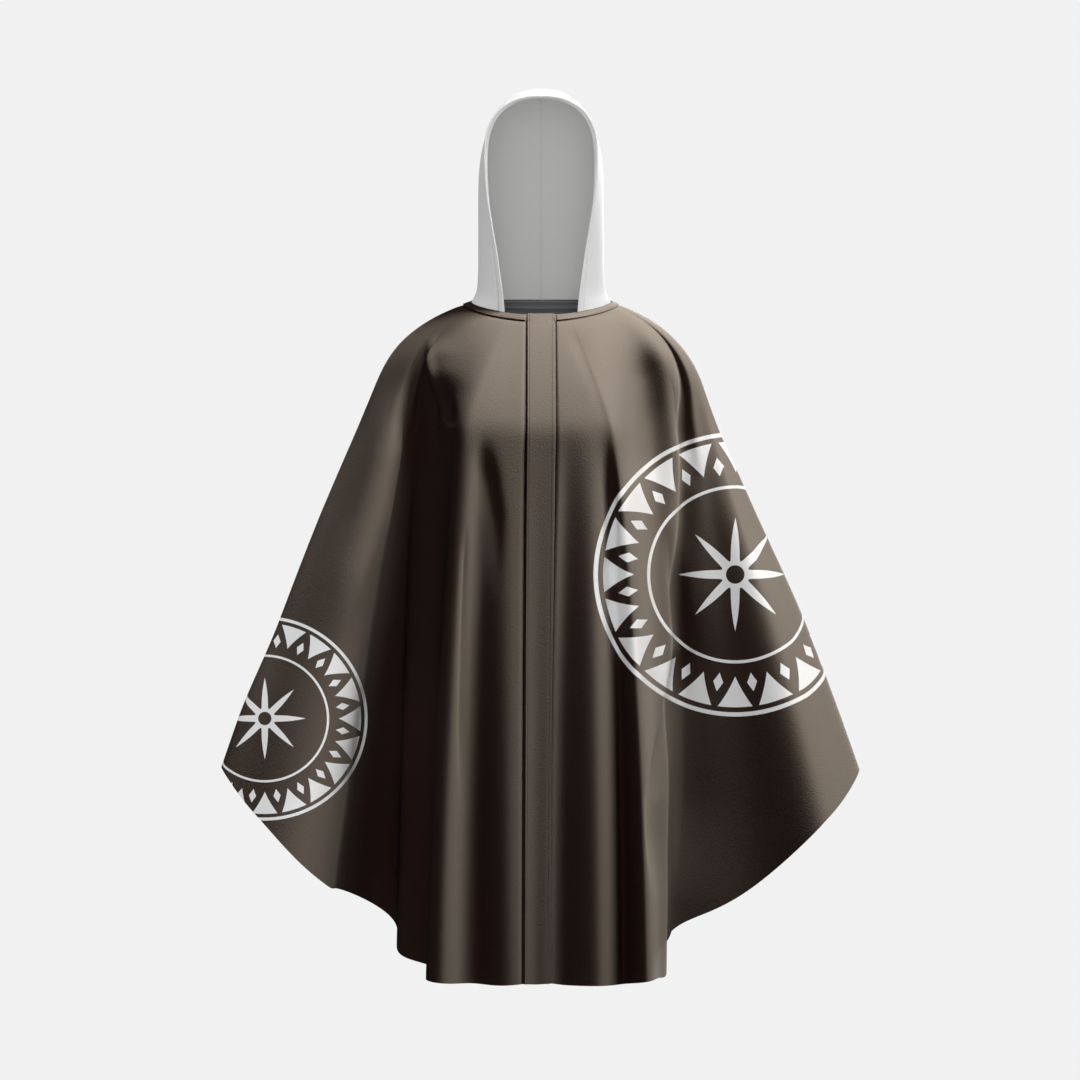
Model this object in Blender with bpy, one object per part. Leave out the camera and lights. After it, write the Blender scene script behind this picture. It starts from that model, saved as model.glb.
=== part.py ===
"""A hooded poncho cape as it hangs when worn, open and hollow: two fronts, a back, a front
placket, a neck band, a back neck facing and a two-piece hood, each a thin wall of cloth.

X is the wearer's left, Y runs from front to back and Z is up. The origin is the middle of the
neck, where the wearer's shoulders hold the cape up. All sizes are in metres.
"""

import math
from collections import namedtuple

import bmesh
import bpy
import numpy as np

# Cloth and seams
CLOTH = 0.0016
BAND_CLOTH = 0.0012
PLACKET_CLOTH = 0.0020
HOOD_HEM_CLOTH = 0.0024
SEAM_GAP = 0.0003

# Neck, bands and arms
NECK_HALF_WIDTH = 0.100
NECK_HALF_DEPTH = 0.078
NECK_LEVEL = 0.006
NECK_TILT = 0.015
NECK_SIDE_RISE = 0.007
BAND_WIDTH = 0.013
BAND_START = 0.2
FACING_WIDTH = 0.040
PLACKET_WIDTH = 0.038
ARM_HALF_DEPTH = 0.052
ARM_LEVEL = -0.118

# Rows and columns of the walls
COLUMN_STEP = 0.0215
ROW_SHARES = (0.10, 0.15, 0.21, 0.28, 0.36, 0.45, 0.54, 0.63, 0.72, 0.81, 0.90)
HOOD_FRONT_STEPS = 6
HOOD_BACK_STEPS = 8

# How the cloth leaves the neck in front, at the side and behind: how steeply it falls, and how
# far it keeps that way as a share of the distance to the chest ring.
Slope = namedtuple("Slope", "fall reach")
FRONT_SLOPE = Slope(fall=math.radians(46), reach=0.38)
SIDE_SLOPE = Slope(fall=math.radians(17), reach=0.50)
BACK_SLOPE = Slope(fall=math.radians(36), reach=0.40)

# How far the cloth already hangs straight above the chest ring, as a share of that distance.
FRONT_HANG = 0.08
SIDE_HANG = 0.30
BACK_HANG = 0.22

# The chest ring is where the cloth stops lying on the shoulders and starts to hang.
ChestRing = namedtuple("ChestRing", "depth level flat_to slopes_to")
FRONT_CHEST = ChestRing(depth=0.172, level=-0.180, flat_to=0.108, slopes_to=0.190)
BACK_CHEST = ChestRing(depth=0.128, level=-0.140, flat_to=0.095, slopes_to=0.200)

# Each row is a crest or a trough of the hanging cloth, from the front edge outwards. chest is
# how far from the middle it starts, sink how far the cloth is drawn in there, out, depth and
# drop its place at the hem, and swell how early its fold fills out on the way down.
Fold = namedtuple("Fold", "name chest sink out depth drop swell")
FRONT_EDGE = Fold("front edge", 0.000, 0.000, -0.007, -0.180, 0.956, 0.4)
LEFT_FRONT = (
    Fold("placket side", 0.020, 0.000, 0.011, -0.180, 0.955, 0.5),
    Fold("first trough", 0.034, 0.000, 0.022, -0.160, 0.958, 0.9),
    Fold("first crest", 0.070, 0.000, 0.083, -0.203, 0.956, 0.8),
    Fold("second trough", 0.094, 0.000, 0.117, -0.146, 0.959, 1.0),
    Fold("main crest", 0.114, 0.010, 0.149, -0.205, 0.950, 0.8),
    Fold("main turn", 0.134, 0.028, 0.161, -0.168, 0.950, 0.6),
    Fold("side dip", 0.160, 0.020, 0.170, -0.120, 0.953, 0.5),
    Fold("side crest", 0.190, -0.030, 0.179, -0.080, 0.952, 0.4),
    Fold("arm trough", 0.204, 0.008, 0.182, -0.026, 0.904, 0.3),
    Fold("wing upper", 0.213, 0.008, 0.240, -0.054, 0.866, 0.1),
    Fold("wing middle", 0.224, 0.002, 0.326, -0.108, 0.806, 0.0),
    Fold("wing lower", 0.234, 0.000, 0.400, -0.170, 0.728, 0.1),
    Fold("wing edge", 0.2385, 0.000, 0.440, -0.104, 0.686, 0.15),
)
LEFT_TIP = Fold("overarm", 0.240, 0.000, 0.457, -0.036, 0.660, 0.15)
LEFT_BACK = (
    Fold("middle trough", 0.000, 0.000, 0.010, 0.160, 0.985, 0.8),
    Fold("first crest", 0.036, 0.000, 0.046, 0.208, 0.988, 0.8),
    Fold("first trough", 0.068, 0.000, 0.086, 0.158, 0.985, 0.9),
    Fold("main crest", 0.104, 0.000, 0.126, 0.206, 0.980, 0.8),
    Fold("main trough", 0.134, 0.006, 0.150, 0.132, 0.962, 0.7),
    Fold("side crest", 0.158, 0.002, 0.180, 0.140, 0.935, 0.5),
    Fold("side trough", 0.182, 0.008, 0.200, 0.062, 0.880, 0.3),
    Fold("wing upper", 0.212, 0.000, 0.276, 0.056, 0.822, 0.0),
    Fold("wing middle", 0.226, 0.000, 0.350, 0.040, 0.764, 0.1),
    Fold("wing lower", 0.234, 0.000, 0.412, 0.024, 0.706, 0.15),
    Fold("wing edge", 0.2385, 0.000, 0.444, -0.003, 0.674, 0.15),
)
RIGHT_FRONT = (
    Fold("placket side", 0.022, 0.000, 0.025, -0.188, 0.955, 0.5),
    Fold("first crest", 0.040, 0.000, 0.042, -0.194, 0.956, 0.7),
    Fold("first trough", 0.080, 0.000, 0.094, -0.148, 0.958, 1.0),
    Fold("main crest", 0.098, 0.000, 0.138, -0.207, 0.952, 0.7),
    Fold("main turn", 0.113, 0.006, 0.162, -0.172, 0.950, 0.6),
    Fold("side trough", 0.137, 0.039, 0.156, -0.104, 0.938, 0.6),
    Fold("side crest", 0.167, 0.026, 0.199, -0.088, 0.925, 0.5),
    Fold("arm trough", 0.184, 0.010, 0.208, -0.030, 0.886, 0.3),
    Fold("wing upper", 0.196, 0.006, 0.284, -0.036, 0.836, 0.1),
    Fold("wing turn", 0.205, -0.008, 0.302, -0.130, 0.822, 0.0),
    Fold("wing middle", 0.218, -0.006, 0.340, -0.168, 0.786, 0.0),
    Fold("wing lower", 0.236, 0.000, 0.392, -0.136, 0.734, 0.1),
    Fold("wing edge", 0.245, 0.000, 0.436, -0.078, 0.690, 0.15),
)
RIGHT_TIP = Fold("overarm", 0.247, 0.000, 0.460, -0.036, 0.658, 0.15)
RIGHT_BACK = (
    Fold("first crest", 0.030, 0.000, 0.030, 0.204, 0.988, 0.8),
    Fold("first trough", 0.060, 0.000, 0.068, 0.160, 0.985, 0.9),
    Fold("main crest", 0.096, 0.000, 0.112, 0.210, 0.980, 0.8),
    Fold("main trough", 0.128, 0.006, 0.140, 0.134, 0.962, 0.7),
    Fold("side crest", 0.154, 0.002, 0.176, 0.146, 0.935, 0.5),
    Fold("side trough", 0.180, 0.008, 0.194, 0.064, 0.880, 0.3),
    Fold("wing upper", 0.210, 0.000, 0.262, 0.058, 0.828, 0.0),
    Fold("wing middle", 0.226, 0.000, 0.336, 0.042, 0.774, 0.1),
    Fold("wing lower", 0.238, 0.000, 0.402, 0.024, 0.712, 0.15),
    Fold("wing edge", 0.245, 0.000, 0.440, -0.004, 0.680, 0.15),
)

# Each row is a section of half the hood, from just above the neck to the one before the crown
# seam: its place on the face edge, how wide it is and where, how far it arches, and its place
# on the back seam.
HoodRow = namedtuple("HoodRow", "edge_out edge_depth edge_level width wide_at arch seam_depth seam_level")
HOOD = (
    HoodRow(0.0535, -0.0700, 0.020, 0.0925, 0.002, 0.000, 0.090, 0.045),
    HoodRow(0.0575, -0.0730, 0.050, 0.0905, 0.008, 0.000, 0.110, 0.075),
    HoodRow(0.0625, -0.0760, 0.085, 0.0905, 0.014, 0.000, 0.124, 0.108),
    HoodRow(0.0685, -0.0795, 0.120, 0.0905, 0.018, 0.001, 0.132, 0.142),
    HoodRow(0.0745, -0.0830, 0.155, 0.0905, 0.020, 0.002, 0.1345, 0.176),
    HoodRow(0.0775, -0.0865, 0.190, 0.0895, 0.020, 0.003, 0.132, 0.208),
    HoodRow(0.0785, -0.0890, 0.222, 0.0855, 0.018, 0.004, 0.125, 0.236),
    HoodRow(0.0765, -0.0905, 0.246, 0.0785, 0.014, 0.006, 0.114, 0.260),
    HoodRow(0.0690, -0.0915, 0.267, 0.0690, 0.008, 0.009, 0.100, 0.279),
    HoodRow(0.0565, -0.0915, 0.283, 0.0545, 0.002, 0.013, 0.086, 0.292),
    HoodRow(0.0370, -0.0910, 0.295, 0.0340, -0.003, 0.016, 0.072, 0.302),
    HoodRow(0.0190, -0.0905, 0.300, 0.0170, -0.006, 0.016, 0.064, 0.307),
)
CROWN = HoodRow(0.000, -0.0900, 0.3015, 0.000, -0.008, 0.0155, 0.058, 0.3095)
FACE_TURN = math.radians(31)
HOOD_LIFT = CLOTH / 2 + SEAM_GAP + 0.0001

Finish = namedtuple("Finish", "name color roughness")
PONCHO_CLOTH = Finish("poncho_cloth", (0.105, 0.088, 0.072), 0.75)
HOOD_CLOTH = Finish("hood_cloth", (0.80, 0.81, 0.81), 0.80)
FACING_CLOTH = Finish("facing_cloth", (0.11, 0.13, 0.14), 0.80)


def smooth_step(value):
    """0 below 0, 1 above 1, and an even curve between."""
    share = np.clip(value, 0.0, 1.0)
    return share * share * (3.0 - 2.0 * share)


def along(points):
    """Distance walked along a line of points, at each point."""
    return np.concatenate([[0.0], np.cumsum(np.linalg.norm(np.diff(points, axis=0), axis=1))])


def unit(vectors):
    """The same directions at length one."""
    return vectors / np.linalg.norm(vectors, axis=-1, keepdims=True)


def loop_spline(knots, values, places):
    """A smooth closed curve through values at knots, where the last value repeats the first."""
    spans = np.diff(knots)
    count = len(spans)
    slopes = np.diff(values, axis=0) / spans[:, None]
    system = np.zeros((count, count))
    right = np.zeros((count, values.shape[1]))
    for i in range(count):
        before = (i - 1) % count
        system[i, before] += spans[i]
        system[i, i] += 2.0 * (spans[before] + spans[i])
        system[i, (i + 1) % count] += spans[before]
        right[i] = 3.0 * (spans[i] * slopes[before] + spans[before] * slopes[i])
    tangents = np.linalg.solve(system, right)
    tangents = np.vstack([tangents, tangents[:1]])
    part = np.clip(np.searchsorted(knots, places, side="right") - 1, 0, count - 1)
    span = spans[part][:, None]
    share = (places - knots[part])[:, None] / span
    return (
        (1 + 2 * share) * (1 - share) ** 2 * values[part]
        + share * (1 - share) ** 2 * span * tangents[part]
        + share**2 * (3 - 2 * share) * values[part + 1]
        + share**2 * (share - 1) * span * tangents[part + 1]
    )


def neck_point(turn):
    """The neck ring at an angle about the neck, from the front by the wearer's left."""
    level = NECK_LEVEL - NECK_TILT * np.cos(turn) + NECK_SIDE_RISE * np.sin(turn) ** 2
    return np.column_stack([NECK_HALF_WIDTH * np.sin(turn), -NECK_HALF_DEPTH * np.cos(turn), level])


def slope_mix(turn, front, side, back):
    """A value that is front at the throat, side over the shoulders and back at the nape."""
    ahead = np.cos(turn)
    return side * np.sin(turn) ** 2 + np.where(ahead > 0, front, back) * ahead**2


def leave_neck(turn):
    """The direction in which the cloth leaves the neck ring."""
    level = unit(np.column_stack([np.sin(turn) * NECK_HALF_DEPTH, -np.cos(turn) * NECK_HALF_WIDTH]))
    fall = slope_mix(turn, FRONT_SLOPE.fall, SIDE_SLOPE.fall, BACK_SLOPE.fall)[:, None]
    return np.column_stack([level * np.cos(fall), -np.sin(fall)])


def chest_point(fold, tip, ring, side, facing):
    """Where a fold leaves the shoulders: side is 1 on the wearer's left, facing -1 in front."""
    share = min(fold.chest / tip.chest, 1.0)
    over_arm = ARM_HALF_DEPTH * math.sqrt(1.0 - share**4)
    slope = (fold.chest - ring.flat_to) / (ring.slopes_to - ring.flat_to)
    over_chest = (ring.depth - ARM_HALF_DEPTH) * (1.0 - float(smooth_step(slope)))
    rise = (fold.chest - ring.flat_to) / (tip.chest - ring.flat_to)
    level = ring.level + (ARM_LEVEL - ring.level) * float(smooth_step(rise))
    return (side * fold.chest, facing * (over_arm + over_chest - fold.sink), level)


def fold_loop():
    """Every fold in turn round the hem, as the arguments of chest_point."""
    loop = [(FRONT_EDGE, LEFT_TIP, FRONT_CHEST, 1, -1)]
    loop += [(fold, LEFT_TIP, FRONT_CHEST, 1, -1) for fold in LEFT_FRONT]
    loop += [(LEFT_TIP, LEFT_TIP, FRONT_CHEST, 1, -1)]
    loop += [(fold, LEFT_TIP, BACK_CHEST, 1, 1) for fold in reversed(LEFT_BACK)]
    loop += [(fold, RIGHT_TIP, BACK_CHEST, -1, 1) for fold in RIGHT_BACK]
    loop += [(RIGHT_TIP, RIGHT_TIP, FRONT_CHEST, -1, -1)]
    loop += [(fold, RIGHT_TIP, FRONT_CHEST, -1, -1) for fold in reversed(RIGHT_FRONT)]
    loop += [(FRONT_EDGE, LEFT_TIP, FRONT_CHEST, 1, -1)]
    return loop


class Cape:
    """The middle surface of the body cloth. A place is a distance round the hem from the front
    edge, by the wearer's left."""

    def __init__(self):
        loop = fold_loop()
        chest = np.array([chest_point(*entry) for entry in loop])
        hem = np.array([(entry[3] * entry[0].out, entry[0].depth, -entry[0].drop) for entry in loop])
        swell = np.array([entry[0].swell for entry in loop])
        left = len(LEFT_FRONT) + 1
        middle = left + len(LEFT_BACK)
        right = middle + len(RIGHT_BACK) + 1
        quarters = [0, left, middle, right, len(loop) - 1]
        walked = along(chest)
        turn = np.interp(walked, walked[quarters], np.radians([0, 90, 180, 270, 360]))
        self.knots = along(hem)
        self.end = self.knots[-1]
        self.left_tip = self.knots[left]
        self.right_tip = self.knots[right]
        even_turn = self.knots * 2 * math.pi / self.end
        self.values = np.column_stack([chest, hem, swell, turn - even_turn])

    def lines(self, places, count=24):
        """The line of the cloth from neck to hem at each place, through 2 * count points."""
        places = np.mod(places, self.end)
        values = loop_spline(self.knots, self.values, places)
        chest, hem, swell = values[:, 0:3], values[:, 3:6], values[:, 6:7]
        turn = values[:, 7] + places * 2 * math.pi / self.end
        neck = neck_point(turn)
        gap = np.linalg.norm(chest - neck, axis=1)[:, None]
        reach = slope_mix(turn, FRONT_SLOPE.reach, SIDE_SLOPE.reach, BACK_SLOPE.reach)[:, None]
        near = neck + leave_neck(turn) * gap * reach
        upright = slope_mix(turn, FRONT_HANG, SIDE_HANG, BACK_HANG)[:, None]
        far = chest - unit(hem - chest) * gap * upright
        share = np.linspace(0.0, 1.0, count)[None, :, None]
        support = (
            (1 - share) ** 3 * neck[:, None]
            + 3 * share * (1 - share) ** 2 * near[:, None]
            + 3 * share**2 * (1 - share) * far[:, None]
            + share**3 * chest[:, None]
        )
        down = np.linspace(0.0, 1.0, count + 1)[None, 1:, None]
        spread = down * (1.0 + swell[:, None] * (1.0 - down))
        down = np.broadcast_to(down, spread.shape)
        hang = chest[:, None] + (hem - chest)[:, None] * np.concatenate([spread, spread, down], axis=2)
        return np.concatenate([support, hang], axis=1)

    def points(self, places, share, offset):
        """At each place, the point at that share of its line from the neck, and offset beyond."""
        found = []
        for line in self.lines(places):
            walked = along(line)
            wanted = share * walked[-1] + offset
            found.append([np.interp(wanted, walked, line[:, axis]) for axis in range(3)])
        return np.array(found)

    def beside_front(self, reach, share, offset):
        """The places that lie reach to the left and to the right of the front edge."""
        steps = np.linspace(0.0, 3.0 * PLACKET_WIDTH, 40)
        left = along(self.points(steps, share, offset))
        right = along(self.points(-steps, share, offset))
        return np.interp(reach, left, steps), self.end - np.interp(reach, right, steps)

    def grid(self):
        """Points all round in rows down from the neck, and the columns of the two overarms."""
        rows = [(0.0, 0.0), (0.0, BAND_WIDTH), (0.0, FACING_WIDTH)]
        rows += [(share, 0.0) for share in ROW_SHARES]
        rows += [(1.0, 0.0)]
        side = round(self.left_tip / COLUMN_STEP)
        back = round((self.right_tip - self.left_tip) / COLUMN_STEP)
        points = []
        for share, offset in rows:
            half = self.beside_front(PLACKET_WIDTH / 4, share, offset)
            edge = self.beside_front(PLACKET_WIDTH / 2, share, offset)
            places = np.concatenate([
                [0.0, half[0]],
                np.linspace(edge[0], self.left_tip, side, endpoint=False),
                np.linspace(self.left_tip, self.right_tip, back, endpoint=False),
                np.linspace(self.right_tip, edge[1], side),
                [half[1]],
            ])
            points.append(self.points(places, share, offset))
        return np.array(points), side + 2, side + 2 + back


def outward(points, across):
    """The outward direction at each point of rows that run down, from the way across them."""
    return unit(np.cross(np.gradient(points, axis=0), across))


def pulled_in(points):
    """The same rows with each end drawn in by half a seam gap."""
    points = points.copy()
    points[:, 0] += unit(points[:, 1] - points[:, 0]) * SEAM_GAP / 2
    points[:, -1] += unit(points[:, -2] - points[:, -1]) * SEAM_GAP / 2
    return points


def add_wall(name, finish, points, normals, thickness, shift=0.0):
    """One closed wall of cloth about points moved out by shift. Its two faces are lofted here,
    not by a modifier, so that pieces share their normals and lie parallel across a seam."""
    rows, columns = points.shape[:2]
    middle = points + normals * shift
    half = normals * np.broadcast_to(np.asarray(thickness), (rows, columns))[..., None] / 2
    corners = np.concatenate([(middle + half).reshape(-1, 3), (middle - half).reshape(-1, 3)])
    count = rows * columns
    index = np.arange(count).reshape(rows, columns)
    faces = []
    for i in range(rows - 1):
        for j in range(columns - 1):
            a, b, c, d = index[i, j], index[i + 1, j], index[i + 1, j + 1], index[i, j + 1]
            first = np.linalg.norm(points[i, j] - points[i + 1, j + 1])
            second = np.linalg.norm(points[i + 1, j] - points[i, j + 1])
            halves = ((a, b, c), (a, c, d)) if first < second else ((a, b, d), (b, c, d))
            faces += [tuple(face) for face in halves]
            faces += [tuple(corner + count for corner in reversed(face)) for face in halves]
    rim = list(index[0]) + list(index[1:, -1]) + list(index[-1, -2::-1]) + list(index[-2:0:-1, 0])
    for a, b in zip(rim, rim[1:] + rim[:1]):
        faces += [(a, b, b + count), (a, b + count, a + count)]
    mesh = bpy.data.meshes.new(name)
    mesh.from_pydata(corners.tolist(), [], [[int(corner) for corner in face] for face in faces])
    face_out(mesh)
    mesh.materials.append(make_material(name, finish))
    piece = bpy.data.objects.new(name, mesh)
    bpy.data.collections["hooded_poncho_cape"].objects.link(piece)


def face_out(mesh):
    """Turn every face of a closed mesh outwards."""
    shell = bmesh.new()
    shell.from_mesh(mesh)
    bmesh.ops.recalc_face_normals(shell, faces=shell.faces)
    shell.to_mesh(mesh)
    shell.free()


def make_material(name, finish):
    """A plain cloth colour for one piece."""
    material = bpy.data.materials.new(name + "_" + finish.name)
    material.use_nodes = True
    shader = material.node_tree.nodes["Principled BSDF"]
    shader.inputs["Base Color"].default_value = (*finish.color, 1.0)
    shader.inputs["Roughness"].default_value = finish.roughness
    return material


def add_body():
    """The fronts, the back and what is sewn on them, all from one grid of points."""
    points, left_tip, right_tip = Cape().grid()
    across = np.roll(points, -1, axis=1) - np.roll(points, 1, axis=1)
    normals = outward(points, across)
    columns = points.shape[1]
    over_front = [columns - 2, columns - 1, 0, 1, 2]
    pieces = {
        "front_left": range(0, left_tip + 1),
        "back": range(left_tip, right_tip + 1),
        "front_right": [*range(right_tip, columns), 0],
    }
    for name, chosen in pieces.items():
        chosen = list(chosen)
        add_wall(name, PONCHO_CLOTH, pulled_in(points[:, chosen]), normals[:, chosen], CLOTH)
    on_top = CLOTH / 2 + SEAM_GAP
    placket = pulled_in(points[:, over_front])
    shift = on_top + PLACKET_CLOTH / 2
    add_wall("placket", PONCHO_CLOTH, placket, normals[:, over_front], PLACKET_CLOTH, shift)
    band = list(range(2, columns - 1))
    top = points[0, band] + (points[1, band] - points[0, band]) * BAND_START
    rows = pulled_in(np.array([top, points[1, band]]))
    shift = on_top + BAND_CLOTH / 2
    add_wall("neckband", PONCHO_CLOTH, rows, normals[:2, band], BAND_CLOTH, shift)
    nape = list(range(left_tip, right_tip + 1))
    add_wall("neck_facing", FACING_CLOTH, pulled_in(points[:3, nape]), normals[:3, nape], BAND_CLOTH, -shift)


def hood_section(row):
    """Half a section of the hood, from the face edge round to the back seam."""
    ahead = np.linspace(0.0, 1.0, HOOD_FRONT_STEPS + 1)[:-1]
    behind = np.linspace(0.0, math.pi / 2, HOOD_BACK_STEPS + 1)
    out = np.concatenate([row.width - (row.width - row.edge_out) * (1 - ahead) ** 2, row.width * np.cos(behind)])
    depth = np.concatenate([
        row.edge_depth + (row.wide_at - row.edge_depth) * ahead,
        row.wide_at + (row.seam_depth - row.wide_at) * np.sin(behind),
    ])
    share = (depth - row.edge_depth) / (row.seam_depth - row.edge_depth)
    level = row.edge_level + (row.seam_level - row.edge_level) * share + row.arch * np.sin(math.pi * share)
    return np.column_stack([out, depth, level])


def add_hood():
    """Two halves of the hood that meet in a seam over the crown and down the back."""
    ahead = np.linspace(FACE_TURN, math.pi / 2, HOOD_FRONT_STEPS + 1)[:-1]
    behind = np.linspace(math.pi / 2, math.pi, HOOD_BACK_STEPS + 1)
    foot = neck_point(np.concatenate([ahead, behind])) + np.array([0.0, 0.0, HOOD_LIFT])
    sections = [hood_section(row) for row in (CROWN, *reversed(HOOD))]
    points = np.array([*sections, foot])
    normals = outward(points, np.gradient(points, axis=1))
    normals[0, :, 0] = 0.0
    normals[:, -1, 0] = 0.0
    normals[-1, :, 2] = 0.0
    normals = unit(normals)
    points[0, :, 0] = SEAM_GAP / 2
    points[:, -1, 0] = SEAM_GAP / 2
    thickness = np.full(points.shape[:2], CLOTH)
    thickness[1:-1, 0] = HOOD_HEM_CLOTH
    for name, side in (("hood_left", 1), ("hood_right", -1)):
        mirror = np.array([side, 1.0, 1.0])
        add_wall(name, HOOD_CLOTH, points * mirror, normals * mirror, thickness)


def main():
    for item in list(bpy.data.objects):
        bpy.data.objects.remove(item, do_unlink=True)
    bpy.context.scene.collection.children.link(bpy.data.collections.new("hooded_poncho_cape"))
    add_body()
    add_hood()


main()
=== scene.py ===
"""Looks of the hooded poncho cape, hanging open and hollow as worn.

X is the wearer's left, Y runs from front to back and Z is up, with the origin in the middle of
the neck. The cloth is regrown here at a finer step from the same named folds as the solids, and
the small creases, listed one by one, are laid on it. All sizes are in metres unless a name says otherwise.
"""

import math
from collections import namedtuple

import bpy
import numpy as np
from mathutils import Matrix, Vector


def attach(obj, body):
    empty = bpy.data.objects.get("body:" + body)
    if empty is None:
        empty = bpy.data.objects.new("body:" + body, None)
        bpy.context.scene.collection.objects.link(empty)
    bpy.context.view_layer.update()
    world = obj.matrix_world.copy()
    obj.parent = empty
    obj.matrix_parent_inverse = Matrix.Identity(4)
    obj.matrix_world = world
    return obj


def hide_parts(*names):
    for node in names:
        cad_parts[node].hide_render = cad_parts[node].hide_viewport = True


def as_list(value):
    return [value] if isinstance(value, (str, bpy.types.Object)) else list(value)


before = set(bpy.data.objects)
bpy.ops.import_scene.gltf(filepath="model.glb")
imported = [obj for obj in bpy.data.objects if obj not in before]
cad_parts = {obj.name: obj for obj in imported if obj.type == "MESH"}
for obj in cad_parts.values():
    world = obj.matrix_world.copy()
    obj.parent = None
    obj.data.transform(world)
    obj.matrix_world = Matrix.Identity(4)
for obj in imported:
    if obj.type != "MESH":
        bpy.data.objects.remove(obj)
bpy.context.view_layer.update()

MM_IN_M = 1000.0
QUARTER_TURN = math.pi / 2

# Cloth and seams. SEAM_GAP lies between two cloths of which one is sewn on the other, and
# SEAM_OPENING is all that shows between two that meet edge to edge. ON_TOP is how far above the
# middle of the body cloth a piece sewn on it starts. Edges that turn past SHARP_TURN show.
CLOTH = 0.0016
BAND_CLOTH = 0.0012
PLACKET_CLOTH = 0.0020
SEAM_GAP = 0.0003
SEAM_OPENING = 0.00006
ON_TOP = CLOTH / 2 + SEAM_GAP
SHARP_TURN = math.radians(60)

# Neck, bands and arms
NECK_HALF_WIDTH = 0.100
NECK_HALF_DEPTH = 0.078
NECK_LEVEL = 0.006
NECK_TILT = 0.015
NECK_SIDE_RISE = 0.007
BAND_WIDTH = 0.013
BAND_START = 0.2
FACING_WIDTH = 0.040
PLACKET_WIDTH = 0.038
ARM_HALF_DEPTH = 0.052
ARM_LEVEL = -0.118

# Rows and columns of the cloth. A stop is a row at a share of the way from neck to hem, and an
# offset beyond that, and between two stops the rows lie evenly. A groove takes a few fine
# columns beside the placket, and as many rows, less deep, under the neckband. The softenings
# are how often each row or column is evened with its neighbours. LINE_LENGTH is about how long
# the cloth is from neck to hem. LINE_STEPS and BESIDE_STEPS are how finely lines are followed.
FRONT_COLUMN_STEP = 0.0042
BACK_COLUMN_STEP = 0.0060
ROW_STEP = 0.0065
EVEN_ROWS_FROM = 0.10
LINE_LENGTH = 1.0
PLACKET_COLUMNS = 4
GROOVE_STEP = 0.0007
GROOVE_STEPS = 6
GROOVE_ROWS = tuple((0.0, BAND_WIDTH + GROOVE_STEP * step) for step in range(1, GROOVE_STEPS))
ROW_STOPS = (
    (0.0, 0.0), (0.0, BAND_WIDTH / 2), (0.0, BAND_WIDTH), *GROOVE_ROWS, (0.0, FACING_WIDTH),
    (EVEN_ROWS_FROM, 0.0), (1.0, 0.0),
)
BAND_STOP = 2
FACING_STOP = BAND_STOP + GROOVE_STEPS
GROOVE_DEPTH = 0.0045
BAND_GROOVE_SHARE = 0.22
ROW_SOFTENING = 5
COLUMN_SOFTENING = 7
HOOD_ROW_STEPS = 5
LINE_STEPS = 60
BESIDE_REACH = 3.0 * PLACKET_WIDTH
BESIDE_STEPS = 40

# How the cloth leaves the neck in front, at the side and behind: how steeply it falls, and how
# far it keeps that way as a share of the distance to the chest ring.
Slope = namedtuple("Slope", "fall reach")
FRONT_SLOPE = Slope(fall=math.radians(46), reach=0.38)
SIDE_SLOPE = Slope(fall=math.radians(17), reach=0.50)
BACK_SLOPE = Slope(fall=math.radians(36), reach=0.40)

# How far the cloth already hangs straight above the chest ring, as a share of that distance.
FRONT_HANG = 0.08
SIDE_HANG = 0.30
BACK_HANG = 0.22

# The chest ring is where the cloth stops lying on the shoulders and starts to hang.
ChestRing = namedtuple("ChestRing", "depth level flat_to slopes_to")
FRONT_CHEST = ChestRing(depth=0.172, level=-0.180, flat_to=0.108, slopes_to=0.190)
BACK_CHEST = ChestRing(depth=0.128, level=-0.140, flat_to=0.095, slopes_to=0.200)

# Each row is a crest or a trough of the hanging cloth, from the middle of the front or the back
# outwards. chest is how far out it starts on the chest ring, sink how far the cloth is drawn in
# there, out, depth and drop its place at the hem, and swell how early it fills out on its way.
Fold = namedtuple("Fold", "name chest sink out depth drop swell")
FRONT_EDGE = Fold("front edge", 0.000, 0.000, -0.007, -0.180, 0.956, 0.4)
LEFT_FRONT = (
    Fold("placket side", 0.020, 0.000, 0.011, -0.180, 0.955, 0.5),
    Fold("first trough", 0.034, 0.000, 0.022, -0.160, 0.958, 0.9),
    Fold("first crest", 0.070, 0.000, 0.083, -0.203, 0.956, 0.8),
    Fold("second trough", 0.094, 0.000, 0.117, -0.146, 0.959, 1.0),
    Fold("main crest", 0.114, 0.010, 0.149, -0.205, 0.950, 0.8),
    Fold("main turn", 0.134, 0.028, 0.161, -0.168, 0.950, 0.6),
    Fold("side dip", 0.160, 0.020, 0.170, -0.120, 0.953, 0.5),
    Fold("side crest", 0.190, -0.030, 0.179, -0.080, 0.952, 0.4),
    Fold("arm trough", 0.204, 0.008, 0.182, -0.026, 0.904, 0.3),
    Fold("wing upper", 0.213, 0.008, 0.240, -0.054, 0.866, 0.1),
    Fold("wing middle", 0.224, 0.002, 0.326, -0.108, 0.806, 0.0),
    Fold("wing lower", 0.234, 0.000, 0.400, -0.170, 0.728, 0.1),
    Fold("wing edge", 0.2385, 0.000, 0.440, -0.104, 0.686, 0.15),
)
LEFT_TIP = Fold("overarm", 0.240, 0.000, 0.457, -0.036, 0.660, 0.15)
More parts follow.
